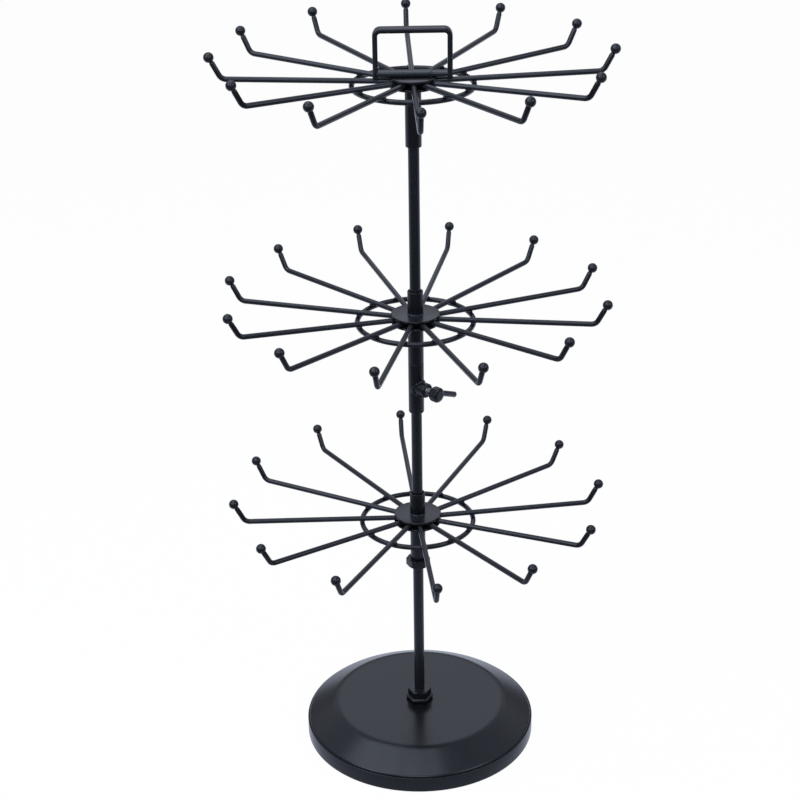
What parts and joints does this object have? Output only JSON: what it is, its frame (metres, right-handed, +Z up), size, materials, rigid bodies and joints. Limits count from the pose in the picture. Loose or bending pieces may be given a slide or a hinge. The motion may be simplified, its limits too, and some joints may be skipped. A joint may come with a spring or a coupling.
{
  "type": "rotating jewelry display stand",
  "caption": "Tiered steel jewelry stand: wheels of ball-tipped wire hooks spin on a pole over a round weighted base, with a sliding clamp collar and a carry handle.",
  "frame": {"origin": "on the surface that the stand rests on, under the pole's axis", "axes": "+Z up the pole; the handle lies along X; the clamp screw points between +X and -Y"},
  "size_m": [0.2426, 0.2426, 0.4838],
  "materials": {
    "powder_coat": "satin black powder coat on steel",
    "zinc_plate": "bright zinc plate",
    "raw_steel": "mill finish",
    "rubber": "moulded matt"
  },
  "bodies": {
    "base": {"base_pan": "powder_coat", "base_cover": "powder_coat", "ballast": "raw_steel", "foot_pads": "rubber", "pole": "powder_coat", "base_flange_nut": "powder_coat", "pole_lock_nut": "powder_coat", "underside_nut": "zinc_plate", "stop_nut": "powder_coat"},
    "lower_tier": {"lower_hub_tube": "powder_coat", "lower_hub_discs": "powder_coat", "lower_support_ring": "powder_coat", "lower_hook_01": "powder_coat", "lower_hook_02": "powder_coat", "lower_hook_03": "powder_coat", "lower_hook_04": "powder_coat", "lower_hook_05": "powder_coat", "lower_hook_06": "powder_coat", "lower_hook_07": "powder_coat", "lower_hook_08": "powder_coat", "lower_hook_09": "powder_coat", "lower_hook_10": "powder_coat", "lower_hook_11": "powder_coat", "lower_hook_12": "powder_coat"},
    "collar": {"clamp_collar": "powder_coat", "clamp_boss": "powder_coat"},
    "middle_tier": {"middle_hub_tube": "powder_coat", "middle_hub_discs": "powder_coat", "middle_support_ring": "powder_coat", "middle_hook_01": "powder_coat", "middle_hook_02": "powder_coat", "middle_hook_03": "powder_coat", "middle_hook_04": "powder_coat", "middle_hook_05": "powder_coat", "middle_hook_06": "powder_coat", "middle_hook_07": "powder_coat", "middle_hook_08": "powder_coat", "middle_hook_09": "powder_coat", "middle_hook_10": "powder_coat", "middle_hook_11": "powder_coat", "middle_hook_12": "powder_coat"},
    "upper_tier": {"upper_hub_tube": "powder_coat", "upper_hub_discs": "powder_coat", "upper_support_ring": "powder_coat", "upper_hook_01": "powder_coat", "upper_hook_02": "powder_coat", "upper_hook_03": "powder_coat", "upper_hook_04": "powder_coat", "upper_hook_05": "powder_coat", "upper_hook_06": "powder_coat", "upper_hook_07": "powder_coat", "upper_hook_08": "powder_coat", "upper_hook_09": "powder_coat", "upper_hook_10": "powder_coat", "upper_hook_11": "powder_coat", "upper_hook_12": "powder_coat", "carry_handle": "powder_coat"},
    "clamp_screw": {"clamp_screw": "zinc_plate"},
    "screw_handle": {"screw_head": "powder_coat", "screw_lever": "powder_coat"}
  },
  "joints": [
    {"name": "lower_tier_spin", "type": "hinge", "parent": "base", "child": "lower_tier", "pos_m": [0, 0, 0.132], "axis": [0, 0, 1], "continuous": true},
    {"name": "collar_slide", "type": "slide", "parent": "base", "child": "collar", "axis": [0, 0, 1], "range_m": [-0.055, 0.085]},
    {"name": "middle_tier_spin", "type": "hinge", "parent": "collar", "child": "middle_tier", "pos_m": [0, 0, 0.2719], "axis": [0, 0, 1], "continuous": true},
    {"name": "upper_tier_spin", "type": "hinge", "parent": "base", "child": "upper_tier", "pos_m": [0, 0, 0.45341], "axis": [0, 0, 1], "continuous": true},
    {"name": "screw_travel", "type": "slide", "parent": "collar", "child": "clamp_screw", "axis": [0.7193, -0.6947, 0], "range_m": [0, 0.00245]},
    {"name": "screw_turn", "type": "hinge", "parent": "clamp_screw", "child": "screw_handle", "pos_m": [0, 0, 0.2552], "axis": [0.7193, -0.6947, 0], "range_deg": [0, 1080]}
  ],
  "couplings": [
    {"joint": "screw_travel", "follows": "screw_turn", "m_per_rad": 0.00012732}
  ]
}
